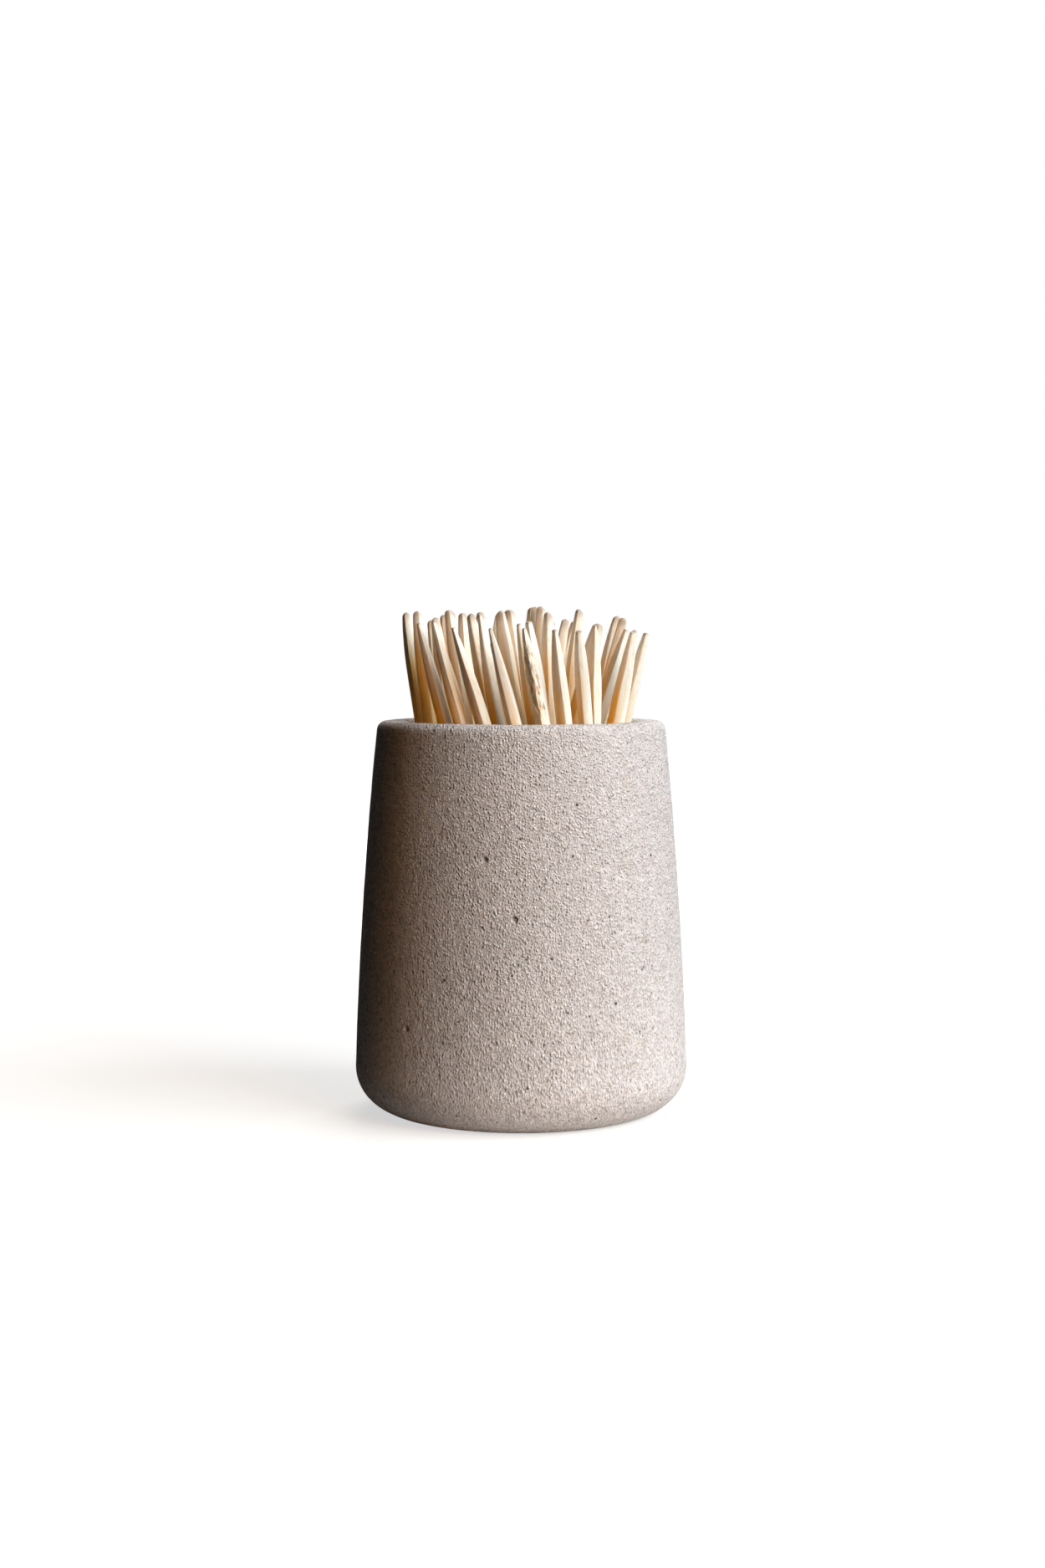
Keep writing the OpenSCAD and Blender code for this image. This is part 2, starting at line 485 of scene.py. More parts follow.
def birch(sizes):
    """Bare birch: grain along each toothpick, each one's own colour, painted shade that browns the
    wood further back, further left and further from the ends, painted warm shade on the side
    turned from the lamps, dark cuts and tears.
    """
    material, nodes, shader = new_material("birch")

    def stored(name, output="Fac"):
        """An attribute that the toothpicks' tree leaves on every point."""
        return nodes.add("ShaderNodeAttribute", attribute_name=name).outputs[output]

    place = stored("wood_place", "Vector")

    def drawn_along(size, squeeze, detail, roughness=0.5):
        """Noise size wide whose features are drawn out along the wood."""
        return nodes.noise(nodes.scaled(place, (1, 1, squeeze)), size, detail, roughness)

    thread = drawn_along(*THREAD, detail=2.0)
    band = drawn_along(*BAND, detail=2.0)
    pore = drawn_along(*PORE, detail=0.0)
    fray = drawn_along(*FRAY, detail=3.0, roughness=0.65)
    torn = stored("torn")

    streak = nodes.math("MULTIPLY_ADD", thread, 0.45, nodes.math("MULTIPLY", band, 0.55))
    # Each one's own colour, with painted shade that browns the grain further back, further left
    # and further from the ends
    streak = nodes.math("ADD", streak, nodes.math("MULTIPLY", stored("tone"), 0.34))
    # Painted warm shade: deep orange on each toothpick's side turned from the lamps
    painted_warm_side = nodes.math("MULTIPLY", stored("heart"), nodes.ramp(band, 0.3, 0.7, 0.75, 1.0))
    bruise = nodes.math("MULTIPLY", torn, nodes.ramp(fray, 0.42, 0.60))
    colour = sizes.birch
    for share, stain in (
            (nodes.ramp(streak, 0.46, 0.84, end=0.95), sizes.grain),
            (painted_warm_side, sizes.heart),
            (nodes.ramp(pore, 0.70, 0.80, end=0.5), sizes.torn),
            (bruise, sizes.torn),
            (nodes.math("MULTIPLY", stored("stained"), 0.85), sizes.cut_end)):
        colour = nodes.mix(share, colour, stain)

    relief = nodes.math("MULTIPLY_ADD", thread, 0.6, nodes.math("MULTIPLY", torn, fray))
    cover(nodes, shader, {
        "Base Color": colour,
        "Roughness": nodes.ramp(thread, 0.3, 0.7, 0.72, 0.55, smooth=False),
        "Specular IOR Level": 0.1,
        "Subsurface Weight": 0.15,
        "Subsurface Radius": (1.0, 0.55, 0.22),
        "Subsurface Scale": 0.3 * MM}, relief, WOOD_RELIEF, strength=0.8)
    return material


def side_arc(sizes):
    """Middle and radius of the shallow arc that the outer side follows in half section."""
    lean_in = (sizes.base_width - sizes.rim_width) / 2
    chord = math.hypot(CUP_HEIGHT, lean_in)
    radius = (chord ** 2 / 4 + sizes.bulge ** 2) / (2 * sizes.bulge)
    slope = math.atan2(lean_in, CUP_HEIGHT)
    back = radius - sizes.bulge
    middle_x = (sizes.base_width + sizes.rim_width) / 4 - back * math.cos(slope)
    middle_z = CUP_HEIGHT / 2 - back * math.sin(slope)
    return middle_x, middle_z, radius


def side_at(sizes, depth, height):
    """Distance from the axis to the side at a height, measured depth inside it."""
    middle_x, middle_z, radius = side_arc(sizes)
    return middle_x + math.sqrt((radius - depth) ** 2 - (height - middle_z) ** 2)


def bend(middle, radius, start, end, step):
    """Points about step apart on an arc of the half section, from angle start to angle end."""
    count = max(3, round(abs(end - start) * radius / step))
    turns = [start + (end - start) * k / count for k in range(count + 1)]
    return [(middle[0] + radius * math.cos(t), middle[1] + radius * math.sin(t)) for t in turns]


def straight(start, end, step):
    """Points about step apart on a straight line of the half section."""
    count = max(2, round(math.dist(start, end) / step))
    shares = [k / count for k in range(count + 1)]
    return [(start[0] + (end[0] - start[0]) * s, start[1] + (end[1] - start[1]) * s)
            for s in shares]


def cup_outline(sizes):
    """The cup's half section, from under the middle, out, up, over the lip and back down.

    Its points lie closest together where the cup is seen.
    """
    fine, coarse, flat = 0.36 * MM, 1.3 * MM, 3.5 * MM
    middle_x, middle_z, radius = side_arc(sizes)
    wall, lip = sizes.wall, sizes.lip_round

    def corner(depth, height):
        """Middle of a rounding that touches the side, and the side's direction there."""
        place = (side_at(sizes, depth, height), height)
        return place, math.atan2(height - middle_z, place[0] - middle_x)

    base, base_turn = corner(sizes.base_round, sizes.base_round)
    outer, outer_turn = corner(lip, CUP_HEIGHT - lip)
    inner, inner_turn = corner(wall - lip, CUP_HEIGHT - lip)
    well, well_turn = corner(wall + sizes.well_round, sizes.floor + sizes.well_round)
    side = (middle_x, middle_z)
    quarter = math.pi / 2
    stretches = [
        straight((0, 0), (base[0], 0), flat),
        bend(base, sizes.base_round, -quarter, base_turn, fine),
        bend(side, radius, base_turn, outer_turn, fine),
        bend(outer, lip, outer_turn, quarter, fine),
        bend(inner, lip, quarter, math.pi + inner_turn, fine),
        bend(side, radius - wall, inner_turn, well_turn, coarse),
        bend(well, sizes.well_round, well_turn, -quarter, coarse),
        straight((well[0], sizes.floor), (0, sizes.floor), flat),
    ]
    points = stretches[0][:1]
    for stretch in stretches:
        points += stretch[1:]
    return points


def new_tree(name, inputs):
    """A geometry tree with these inputs, listed by kind, a hand for its nodes, and its inputs."""
    tree = bpy.data.node_groups.new(name, "GeometryNodeTree")
    tree.interface.new_socket("Geometry", in_out="OUTPUT", socket_type="NodeSocketGeometry")
    tree.interface.new_socket("Geometry", in_out="INPUT", socket_type="NodeSocketGeometry")
    for kind, sockets in inputs.items():
        for socket in sockets:
            tree.interface.new_socket(socket, in_out="INPUT", socket_type="NodeSocket" + kind)
    nodes = Nodes(tree)
    return tree, nodes, nodes.add("NodeGroupInput").outputs


def moved(nodes, geometry, **values):
    """The geometry with its points at a new Position, or pushed by an Offset."""
    values["Geometry"] = geometry
    return nodes.add("GeometryNodeSetPosition", values).outputs[0]


def merged(nodes, geometry):
    """The geometry with points that lie on each other made one, which closes its seams."""
    values = {"Geometry": geometry, "Distance": MERGED_WITHIN}
    return nodes.add("GeometryNodeMergeByDistance", values).outputs[0]


def end_tree(nodes, geometry, material):
    """Ends a tree as every one here ends: smooth, real geometry with its material."""
    geometry = nodes.add("GeometryNodeSetShadeSmooth", (geometry,)).outputs[0]
    geometry = nodes.add("GeometryNodeRealizeInstances", (geometry,)).outputs[0]
    geometry = nodes.add("GeometryNodeSetMaterial", {0: geometry, "Material": material}).outputs[0]
    nodes.add("NodeGroupOutput", (geometry,))


def cup_tree(sizes):
    """Turns an outline round the Z axis and roughens it: swells, grain and pits, all inwards."""
    tree, nodes, given = new_tree("turned_cup", {
        "Int": ("Facets",), "Float": ("Swell", "Lump", "Grit", "Pit", "Seed"),
        "Material": ("Material",)})
    calc = nodes.math
    outline, seed = given["Geometry"], given["Seed"]
    rows = nodes.add("GeometryNodeAttributeDomainSize", (outline,), component="MESH").outputs[0]
    sheet = nodes.add("GeometryNodeMeshGrid", (
        1, 1, calc("ADD", given["Facets"], 1), rows)).outputs[0]
    place = nodes.add("GeometryNodeInputPosition").outputs[0]
    x, y, z = nodes.split(place)
    row = calc("ROUND", calc("MULTIPLY", calc("ADD", y, 0.5), calc("SUBTRACT", rows, 1)))
    point = nodes.add("GeometryNodeSampleIndex",
                      {"Geometry": outline, "Value": place, "Index": row},
                      data_type="FLOAT_VECTOR", domain="POINT").outputs[0]
    reach, _, height = nodes.split(point)
    turn = calc("MULTIPLY", calc("ADD", x, 0.5), math.tau)
    turned = nodes.join(calc("MULTIPLY", reach, calc("COSINE", turn)),
                        calc("MULTIPLY", reach, calc("SINE", turn)), height)
    cup = merged(nodes, moved(nodes, sheet, Position=turned))

    drawn = drawn_out(nodes, place)
    swell = calc("MULTIPLY", nodes.noise(place, SWELL, seed=seed), given["Swell"])
    lump = calc("MULTIPLY", nodes.noise(drawn, LUMP, seed=seed), given["Lump"])
    grit = calc("MULTIPLY", nodes.noise(drawn, GRIT, seed=seed), given["Grit"])
    away, random_part = nodes.cells(place, PIT_SPACING, seed=seed)
    radius = nodes.ramp(random_part[0], 0.45, 1, 0, PIT_RADIUS, smooth=False)
    hole = nodes.ramp(
        calc("DIVIDE", away, calc("MAXIMUM", radius, TINIEST_RADIUS)), 0, 1, 1, 0)
    pits = nodes.greatest(calc("MULTIPLY", hole, given["Pit"]), *(
        nodes.ramp(gap, 0, pit_radius, pit_depth, 0)
        for gap, pit_radius, pit_depth in seen_pits(nodes, place, sizes)))
    depth = calc("ADD", calc("ADD", swell, calc("ADD", lump, grit)), pits)
    depth = calc("MULTIPLY", depth, nodes.ramp(z, SMOOTH_BELOW, ROUGH_ABOVE))
    normal = nodes.add("GeometryNodeInputNormal").outputs[0]
    inwards = nodes.add("ShaderNodeVectorMath",
                        {"Vector": normal, "Scale": calc("MULTIPLY", depth, -1)},
                        operation="SCALE").outputs[0]
    end_tree(nodes, moved(nodes, cup, Offset=inwards), given["Material"])
    return tree


def tapered(nodes, given, upper, from_end):
    """The stick's radius this far from an end, the end's own, and how far into its taper."""
    calc = nodes.math

    def at_this_end(name):
        """The lower end's value, or the upper end's in the upper half."""
        lower = given["Lower " + name]
        more = calc("SUBTRACT", given["Upper " + name], lower)
        return calc("MULTIPLY_ADD", upper, more, lower)

    tip = calc("MULTIPLY", at_this_end("Tip"), 0.5)
    taper = at_this_end("Taper")
    half = calc("MULTIPLY", given["Width"], 0.5)
    drop = calc("SUBTRACT", half, tip)
    into = calc("MAXIMUM", calc("SUBTRACT", taper, from_end), 0)
    arch = calc("MULTIPLY_ADD", drop, 0.5, calc(
        "DIVIDE", calc("POWER", taper, 2), calc("MULTIPLY", drop, 2)))
    across = calc("SUBTRACT", calc("POWER", arch, 2), calc("POWER", into, 2))
    reach = calc("SUBTRACT", half, calc("SUBTRACT", arch, calc("SQRT", across)))
    return reach, tip, calc("DIVIDE", into, taper)


def whittled(nodes, given, step, line, from_end):
    """How far round a point and its facet's middle lie, and the share of its reach it keeps."""
    calc = nodes.math
    faces, seed = given["Faces"], given["Seed"]
    wander = calc("SUBTRACT", nodes.noise(line, WANDER_WIDTH, seed=seed), 0.5)
    wander = calc("MULTIPLY_ADD", wander, given["Unevenness"], given["Roll"])
    first = calc("SINE", calc("MULTIPLY", seed, EDGE_STRIDE))

    def edge_at(number):
        """How far round the stick the edge before this facet lies. The first is at Roll."""
        regular = calc("MULTIPLY", number, calc("DIVIDE", math.tau, given["Facets"]))
        uneven = calc("SINE", calc("MULTIPLY_ADD", seed, EDGE_STRIDE, regular))
        uneven = calc("SUBTRACT", uneven, first)
        return calc("ADD", calc("MULTIPLY_ADD", uneven, EDGE_UNEVENNESS, regular), wander)

    facet = calc("FLOOR", calc("DIVIDE", calc("ADD", step, 0.5), faces))
    start = edge_at(facet)
    end = edge_at(calc("ADD", facet, 1))
    part = calc("SUBTRACT", calc("DIVIDE", step, faces), facet)
    turn = calc("MULTIPLY_ADD", calc("SUBTRACT", end, start), part, start)
    middle = calc("MULTIPLY", calc("ADD", start, end), 0.5)
    apothem = calc("COSINE", calc("MULTIPLY", calc("SUBTRACT", end, start), 0.5))
    flat = calc("DIVIDE", apothem, calc("COSINE", calc("SUBTRACT", turn, middle)))
    own_depth = calc("SINE", calc(
        "MULTIPLY_ADD", seed, CUT_STRIDE, calc("MULTIPLY", facet, FACET_STRIDE)))
    depth = calc("MULTIPLY", given["Flatness"], calc("MULTIPLY_ADD", own_depth, 0.2, 0.8))
    depth = calc("MULTIPLY", depth, nodes.ramp(from_end, 8 * MM, 22 * MM, 1.0, 0.35))
    kept_width = calc("MULTIPLY", calc("SUBTRACT", 1, apothem), 0.4)
    kept = calc("MULTIPLY_ADD", depth, calc("ADD", calc("SUBTRACT", flat, 1), kept_width), 1)
    return turn, middle, kept


def torn_skin(nodes, given, turn, skin, share):
    """How torn a point is, from 0 to 1: a ragged band below the upper end, on one side."""
    calc = nodes.math
    begins, full, fades, ends = TORN_BAND
    ragged = nodes.noise(skin, RAGGED_WIDTH, detail=2.0, roughness=0.6, seed=given["Seed"])
    facing = calc("COSINE", calc("SUBTRACT", turn, given["Torn Side"]))
    band = calc("MULTIPLY", nodes.ramp(share, begins, full), nodes.ramp(share, fades, ends, 1, 0))
    torn = calc("MULTIPLY", nodes.ramp(facing, -0.15, 0.45),
                calc("MULTIPLY", band, nodes.ramp(ragged, 0.42, 0.56)))
    return calc("MULTIPLY", torn, calc("GREATER_THAN", given["Tear"], 0))


def painted_shade_at(nodes, given, turn, middle, from_end):
    """How much painted warm shade a point shows, on the side turned from the lamps: mostly one
    share for each facet, little at an end and more further from it.
    """
    calc = nodes.math
    by_facet, by_point = (
        nodes.ramp(calc("COSINE", calc("SUBTRACT", round_at, given["Heart Side"])), 0.0, 0.8)
        for round_at in (middle, turn))
    heart = calc("MULTIPLY_ADD", by_facet, 0.6, calc("MULTIPLY", by_point, 0.4))
    # Painted shade: little near the ends, more further from them, deeper in the bunch
    from_tip = nodes.ramp(from_end, 1 * MM, 14 * MM, 0.35, 1.2)
    return calc("MULTIPLY", heart, calc("MULTIPLY", given["Heart"], from_tip))


def toothpick_tree():
    """One toothpick: a stick with an arched, faceted taper at each end, fibres and torn places."""
    tree, nodes, given = new_tree("toothpick", {
        "Vector": ("Foot", "Lean"),
        "Int": ("Facets", "Faces", "Rings"),
        "Float": ("Length", "Width", "Lower Taper", "Upper Taper", "Lower Tip", "Upper Tip",
                  "Rounding", "Stain", "Flatness", "Unevenness", "Slant", "Fibre", "Tear",
                  "Torn Side", "Splinters", "Roll", "Heart Side", "Heart", "Tone", "Seed"),
        "Material": ("Material",)})
    calc = nodes.math
    rings, seed = given["Rings"], given["Seed"]
    sides = calc("MULTIPLY", given["Facets"], given["Faces"])
    stick = nodes.add("GeometryNodeMeshGrid", (
        1, 1, calc("ADD", sides, 1), calc("ADD", rings, 1))).outputs[0]
    x, y, _ = nodes.split(nodes.add("GeometryNodeInputPosition").outputs[0])

    # The rings crowd towards both ends. The first and the last ring aren't shown: they
    # shrink to a point on the axis and close the ends.
    row = calc("ROUND", calc("MULTIPLY", calc("ADD", y, 0.5), rings))
    even = calc("DIVIDE", calc("SUBTRACT", row, 1), calc("SUBTRACT", rings, 2), clamp=True)
    crowding = -0.9 / math.tau
    share = calc("MULTIPLY_ADD", calc("SINE", calc("MULTIPLY", even, math.tau)), crowding, even)
    along = calc("MULTIPLY", share, given["Length"])
    from_end = calc("MINIMUM", along, calc("SUBTRACT", given["Length"], along))
    upper = calc("GREATER_THAN", share, 0.5)
    shown = calc("MULTIPLY", calc("GREATER_THAN", row, 0.5),
                 calc("LESS_THAN", row, calc("SUBTRACT", rings, 0.5)))

    reach, tip, tapering = tapered(nodes, given, upper, from_end)
    line = nodes.join(0, 0, along)
    step = calc("ROUND", calc("MULTIPLY", calc("ADD", x, 0.5), sides))
    turn, middle, kept = whittled(nodes, given, step, line, from_end)
    cosine, sine = calc("COSINE", turn), calc("SINE", turn)
    pinch = calc("MULTIPLY", nodes.noise(line, PINCH_WIDTH, seed=calc("ADD", seed, 50)),
                 calc("MULTIPLY", given["Unevenness"], -0.16))
    pinch = calc("MULTIPLY_ADD", pinch, tapering, 1)
    rounded = calc("MULTIPLY", tip, given["Rounding"])
    corner = calc("SUBTRACT", 1, calc("DIVIDE", from_end, rounded), clamp=True)
    corner = calc("SQRT", calc("SUBTRACT", 1, calc("POWER", corner, 2)))
    corner = calc("MULTIPLY_ADD", calc("SUBTRACT", corner, 1), given["Rounding"], 1)
    reach = calc("MULTIPLY", calc("MULTIPLY", reach, kept), calc("MULTIPLY", pinch, corner))

    half = calc("MULTIPLY", given["Width"], 0.5)

    def skin_at(squeeze):
        """A point's place on a plain round stick, for patterns drawn out along it."""
        return nodes.join(calc("MULTIPLY", cosine, half), calc("MULTIPLY", sine, half),
                          calc("MULTIPLY", along, squeeze))

    fibre = nodes.noise(skin_at(0.05), FIBRE_WIDTH, detail=2.0, seed=seed)
    torn = torn_skin(nodes, given, turn, skin_at(0.4), share)
    loss = calc("MULTIPLY_ADD", torn, given["Tear"], calc("MULTIPLY", fibre, given["Fibre"]))
    reach = calc("SUBTRACT", reach, calc("MULTIPLY", loss, calc("DIVIDE", reach, half)))

    # The upper end runs a little off the middle and is cut at a slant
    astray = calc("MULTIPLY", calc("MULTIPLY", upper, calc("POWER", tapering, 2)), ASTRAY)
    low_side = calc("COSINE", calc("MULTIPLY_ADD", seed, LOW_SIDE_STRIDE, turn))
    slanted = calc("MULTIPLY", reach, calc("MULTIPLY_ADD", shown, low_side, 1))
    slanted = calc("MULTIPLY", slanted, calc("MULTIPLY", given["Slant"], upper))
    near_end = calc("SUBTRACT", 1, calc("DIVIDE", from_end, SLANT_REACH), clamp=True)
    reach = calc("MULTIPLY", reach, shown)
    local = nodes.join(
        calc("MULTIPLY_ADD", reach, cosine, calc("MULTIPLY", astray, calc("COSINE", seed))),
        calc("MULTIPLY_ADD", reach, sine, calc("MULTIPLY", astray, calc("SINE", seed))),
        calc("SUBTRACT", along, calc("MULTIPLY", slanted, near_end)))

    # Each toothpick takes its grain from another place in the same wood
    shift = nodes.join(calc("MULTIPLY", seed, 7 * MM), calc("MULTIPLY", seed, -3 * MM), 0)
    below_cut = calc("MULTIPLY", given["Stain"], -0.3)
    for name, kind, value in (
            ("wood_place", "FLOAT_VECTOR", nodes.vector("ADD", local, shift)),
            # Each one's own colour, with painted shade that browns it further from the ends
            ("tone", "FLOAT", calc(
                "MULTIPLY", given["Tone"], nodes.ramp(from_end, 2 * MM, 15 * MM, 0.1, 1))),
            # The painted warm shade on the side turned from the lamps
            ("heart", "FLOAT", painted_shade_at(nodes, given, turn, middle, from_end)),
            ("torn", "FLOAT", torn),
            ("stained", "FLOAT", nodes.ramp(from_end, below_cut, given["Stain"], 1, 0))):
        stick = nodes.add("GeometryNodeStoreNamedAttribute",
                          {"Geometry": stick, "Name": name, "Value": value},
                          data_type=kind, domain="POINT").outputs[0]
    stick = merged(nodes, moved(nodes, stick, Position=local))
    stick = with_splinters(nodes, stick, given["Splinters"], seed)
    lean = nodes.add("FunctionNodeAlignRotationToVector", {"Vector": given["Lean"]}, axis="Z")
    stick = nodes.add("GeometryNodeTransform", {
        "Geometry": stick, "Translation": given["Foot"], "Rotation": lean.outputs[0]}).outputs[0]
    end_tree(nodes, stick, given["Material"])
    return tree


def with_splinters(nodes, stick, crowd, seed):
    """The stick with thin slivers that stand off its torn places."""
    torn = nodes.add(
        "GeometryNodeInputNamedAttribute", {"Name": "torn"}, data_type="FLOAT").outputs[0]
    spots = nodes.add("GeometryNodeDistributePointsOnFaces", {
        "Mesh": stick, "Selection": nodes.math("GREATER_THAN", torn, 0.35), "Density": crowd,
        "Seed": seed}, distribute_method="RANDOM").outputs
    leaning = nodes.scaled(spots["Normal"], (SLIVER_LEAN, SLIVER_LEAN, SLIVER_LEAN))
    outwards = nodes.vector("ADD", leaning, (0, 0, 1))
    aim = nodes.add("FunctionNodeAlignRotationToVector", {"Vector": outwards}, axis="Z").outputs[0]
    sliver = nodes.add("GeometryNodeMeshCone", SLIVER).outputs["Mesh"]
    # Inputs 2 and 3 are the least and the most that the number may be, and output 1 is it
    size = nodes.add("FunctionNodeRandomValue", {
        2: SLIVER_LEAST, 3: SLIVER_MOST, "Seed": SLIVER_SEED}, data_type="FLOAT").outputs[1]
    slivers = nodes.add("GeometryNodeInstanceOnPoints", {
        "Points": spots["Points"], "Instance": sliver, "Rotation": aim, "Scale": size}).outputs[0]
    joined = nodes.add("GeometryNodeJoinGeometry", (stick,))
    nodes.feed(joined.inputs[0], slivers)
    return joined.outputs[0]


def set_inputs(modifier, values):
    """Gives a tree's named inputs their values, by the sockets' own identifiers."""
    for item in modifier.node_group.interface.items_tree:
        if item.item_type == "SOCKET" and item.in_out == "INPUT" and item.name in values:
            modifier[item.identifier] = values[item.name]


def run_tree(tree, piece, values):
    """Runs a tree on a piece and leaves the result as its plain mesh, with no modifier."""
    modifier = piece.modifiers.new(tree.name, "NODES")
    modifier.node_group = tree
    set_inputs(modifier, values)
    graph = bpy.context.evaluated_depsgraph_get()
    mesh = bpy.data.meshes.new_from_object(
        piece.evaluated_get(graph), preserve_all_data_layers=True, depsgraph=graph)
    if not mesh.polygons:
        raise RuntimeError(f"{tree.name} made no faces for {piece.name}")
    piece.modifiers.clear()
    piece.data = mesh
    mesh.name = piece.name


def new_piece(name, points=(), edges=(), faces=()):
    """An object at the origin with these points, edges and faces."""
    mesh = bpy.data.meshes.new(name)
    mesh.from_pydata(points, edges, faces)
    piece = bpy.data.objects.new(name, mesh)
    bpy.context.scene.collection.objects.link(piece)
    return piece


def where_it_stands(name, pick_length):
    """A toothpick's foot and the direction that it leans in, both from the frame."""
    pull = next(joint for joint in frame["joints"] if joint["child"] == name)
    lean = Vector(pull["axis"]).normalized()
    low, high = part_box(name)
    return (low + high) / 2 - lean * pick_length / 2, lean


class HOLDER_OT_set_stage(bpy.types.Operator):
    """Sets up the camera, the lamps, the world and the pale floor"""

    bl_idname = "holder.set_stage"
    bl_label = "Set the stage"

    def execute(self, context):
        stage = context.scene.holder_stage
        add_camera(context.scene, stage)
        for name, lamp in LAMPS.items():
            add_lamp(name, getattr(stage, name + "_power"), *lamp)
        light_world(context.scene, stage)
        add_floor(stage)
        context.scene.view_settings.view_transform = "Standard"
        return {"FINISHED"}


class HOLDER_OT_turn_cup(bpy.types.Operator):
    """Turns the stoneware cup and roughens its surface"""

    bl_idname = "holder.turn_cup"
    bl_label = "Turn the cup"

    def execute(self, context):
        sizes = context.scene.holder_cup
        outline = [(reach, 0, height) for reach, height in cup_outline(sizes)]
        edges = [(k, k + 1) for k in range(len(outline) - 1)]
        piece = new_piece("stoneware_cup", outline, edges)
        run_tree(cup_tree(sizes), piece, {
            "Facets": sizes.facets, "Swell": SWELL_DEPTH, "Lump": LUMP_DEPTH, "Grit": GRIT_DEPTH,
            "Pit": PIT_DEPTH, "Seed": CUP_SEED, "Material": stoneware(sizes)})
        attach(piece, "cup")
        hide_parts("cup")
        return {"FINISHED"}


class HOLDER_OT_whittle_toothpicks(bpy.types.Operator):
    """Makes every toothpick where its CAD node stands"""

    bl_idname = "holder.whittle_toothpicks"
    bl_label = "Whittle the toothpicks"

    def execute(self, context):
        sizes = context.scene.holder_toothpicks
        wood = birch(sizes)
        tree = toothpick_tree()
        chance = random.Random(CHANCE_SEED)
        for number, name in enumerate(sorted(n for n in frame["nodes"] if n != "cup"), 1):
            foot, lean = where_it_stands(name, sizes.length)
            in_front = number <= len(IN_FRONT)
            drawn = [chance.uniform(*limits) for limits in FURTHER_BACK]
            width, taper, edge, heart = IN_FRONT[number - 1] if in_front else drawn
            top = foot + lean * sizes.length
            # Painted shade on those standing furthest left
            shaded_left = 1.0 if top.x < SHADED_LEFT_OF else 0.0
            values = {
                "Foot": list(foot), "Lean": list(lean), "Length": sizes.length,
                "Width": sizes.width, "Lower Taper": sizes.taper, "Upper Taper": taper * MM,
                "Lower Tip": sizes.tip, "Upper Tip": width * MM, "Fibre": FIBRE_DEPTH,
                "Torn Side": TORN_SIDE, "Roll": math.radians(edge - 90),
                "Heart": min(1.0, heart + shaded_left), "Seed": float(number), "Material": wood,
                **(SHARP if in_front else BLURRED), **(ROUGH if name == TORN else SMOOTH)}
            values["Facets"] = chance.choice(FACET_COUNTS)
            for kind, limits in VARIED.items():
                values[kind] = chance.uniform(*limits)
            # The painted warm shade goes on the side turned from the lamps
            values["Heart Side"] = math.radians(chance.uniform(*PAINTED_SHADE_SIDES))
            if in_front:
                values["Tone"] = chance.uniform(*FRONT_TONES)
            else:
                # Painted shade browns those further back
                values["Tone"] = chance.uniform(*REAR_TONES_AND_SHADE) + shaded_left
            piece = new_piece("birch_" + name)
            run_tree(tree, piece, values)
            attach(piece, name)
            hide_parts(name)
        return {"FINISHED"}


class HOLDER_PT_panel(bpy.types.Panel):
    """Lists the sizes and the steps"""

    bl_idname = "HOLDER_PT_panel"
    bl_label = "Toothpick Holder"
    bl_space_type = "VIEW_3D"
    bl_region_type = "UI"
    bl_category = "Holder"

    def draw(self, context):
        for group, step in ((context.scene.holder_cup, HOLDER_OT_turn_cup),
                            (context.scene.holder_toothpicks, HOLDER_OT_whittle_toothpicks),
                            (context.scene.holder_stage, HOLDER_OT_set_stage)):
            box = self.layout.box()
            for name in type(group).__annotations__:
                box.prop(group, name)
            box.operator(step.bl_idname)


def round_the_cup(degrees, elevation, distance):
    """A place seen from the cup at this angle round from the front, towards the right."""
    turn, rise = math.radians(degrees), math.radians(elevation)
    level = distance * math.cos(rise)
    return Vector((level * math.sin(turn), -level * math.cos(turn),
                   CUP_HEIGHT / 2 + distance * math.sin(rise)))


def add_camera(scene, stage):
    """The camera at the photograph's place and angle."""
    data = bpy.data.cameras.new("camera")
    data.lens = stage.lens
    data.sensor_width = FRAME_WIDTH_MM
    data.clip_start = NEAREST_SEEN
    camera = bpy.data.objects.new("camera", data)
    camera.location = (stage.camera_right, -stage.camera_back, stage.camera_up)
    camera.rotation_euler = (math.pi / 2 - stage.camera_tilt, 0, 0)
    scene.collection.objects.link(camera)
    scene.camera = camera


def add_lamp(name, watts, degrees, elevation, distance, size, colour):
    """A soft box that faces the middle of the cup."""
    data = bpy.data.lights.new(name, "AREA")
    data.shape = "RECTANGLE"
    data.size, data.size_y = size
    data.energy = watts
    data.color = colour
    lamp = bpy.data.objects.new(name, data)
    lamp.location = round_the_cup(degrees, elevation, distance)
    towards = Vector((0, 0, CUP_HEIGHT / 2)) - lamp.location
    lamp.rotation_euler = towards.to_track_quat("-Z", "Y").to_euler()
    lamp.visible_camera = False
    bpy.context.scene.collection.objects.link(lamp)


def seen_straight(nodes):
    """1 for rays from the camera, or by way of gloss or glass, and 0 for the light on things."""
    ray = nodes.add("ShaderNodeLightPath").outputs
    return nodes.greatest(
        ray["Is Camera Ray"], ray["Is Glossy Ray"], ray["Is Transmission Ray"])


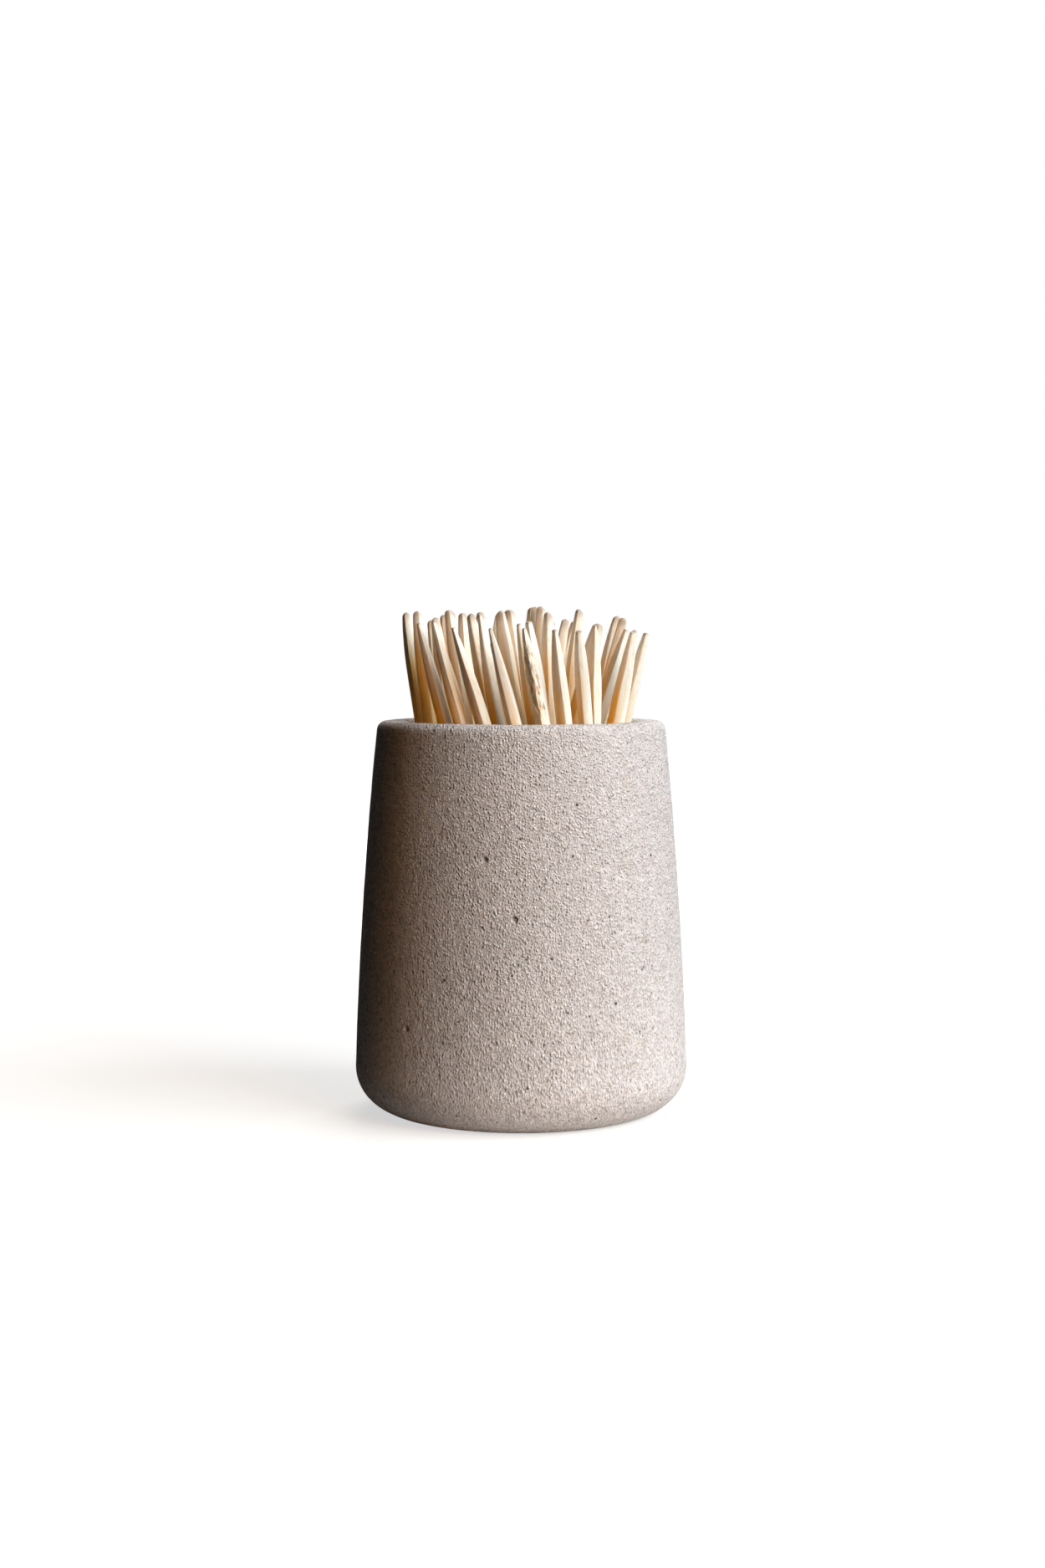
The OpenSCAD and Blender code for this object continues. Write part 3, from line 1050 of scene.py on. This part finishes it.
def light_world(scene, stage):
    """White behind everything, and a low warm light from all round."""
    world = bpy.data.worlds.new("surroundings")
    nodes = nodes_of(world)
    seen = seen_straight(nodes)
    colour = nodes.mix(seen, FILL_COLOUR, WHITE)
    strength = nodes.ramp(seen, 0, 1, stage.fill, 1.0, smooth=False)
    lit = nodes.add("ShaderNodeBackground", {"Color": colour, "Strength": strength})
    nodes.add("ShaderNodeOutputWorld", {"Surface": lit.outputs[0]})
    scene.world = world


def add_floor(stage):
    """A wide pale floor that reads white and keeps the cup's shadow."""
    half = FLOOR_HALF
    corners = [(-half, -half, 0), (half, -half, 0), (half, half, 0), (-half, half, 0)]
    floor = new_piece("floor", corners, faces=[(0, 1, 2, 3)])
    material = bpy.data.materials.new("floor")
    nodes = nodes_of(material)
    place = nodes.add("ShaderNodeTexCoord").outputs["Object"]
    away = nodes.distance(place, (0, 0, 0))
    own = nodes.ramp(away, GLOW_NEAR, GLOW_FAR, stage.floor_white, 1.0)
    seen = seen_straight(nodes)
    glow = nodes.add("ShaderNodeEmission", {"Strength": nodes.math("MULTIPLY", own, seen)})
    off_patch = nodes.ramp(nodes.distance(place, PATCH), PATCH_INNER, PATCH_OUTER)
    bounced = nodes.mix(off_patch, PATCH_BOUNCE, FAR_BOUNCE)
    paper = nodes.add("ShaderNodeBsdfDiffuse", {"Color": nodes.mix(seen, bounced, FLOOR_SEEN)})
    both = nodes.add("ShaderNodeAddShader", (glow.outputs[0], paper.outputs[0]))
    nodes.add("ShaderNodeOutputMaterial", {"Surface": both.outputs[0]})
    floor.data.materials.append(material)


CLASSES = (CupSizes, ToothpickSizes, StageSizes, HOLDER_OT_set_stage, HOLDER_OT_turn_cup,
           HOLDER_OT_whittle_toothpicks, HOLDER_PT_panel)


def register():
    for kind in CLASSES:
        bpy.utils.register_class(kind)
    bpy.types.Scene.holder_cup = PointerProperty(type=CupSizes)
    bpy.types.Scene.holder_toothpicks = PointerProperty(type=ToothpickSizes)
    bpy.types.Scene.holder_stage = PointerProperty(type=StageSizes)


def unregister():
    del bpy.types.Scene.holder_stage
    del bpy.types.Scene.holder_toothpicks
    del bpy.types.Scene.holder_cup
    for kind in reversed(CLASSES):
        bpy.utils.unregister_class(kind)


def main():
    """Makes everything in order."""
    register()
    bpy.ops.holder.set_stage()
    bpy.ops.holder.turn_cup()
    bpy.ops.holder.whittle_toothpicks()


if __name__ == "__main__":
    main()
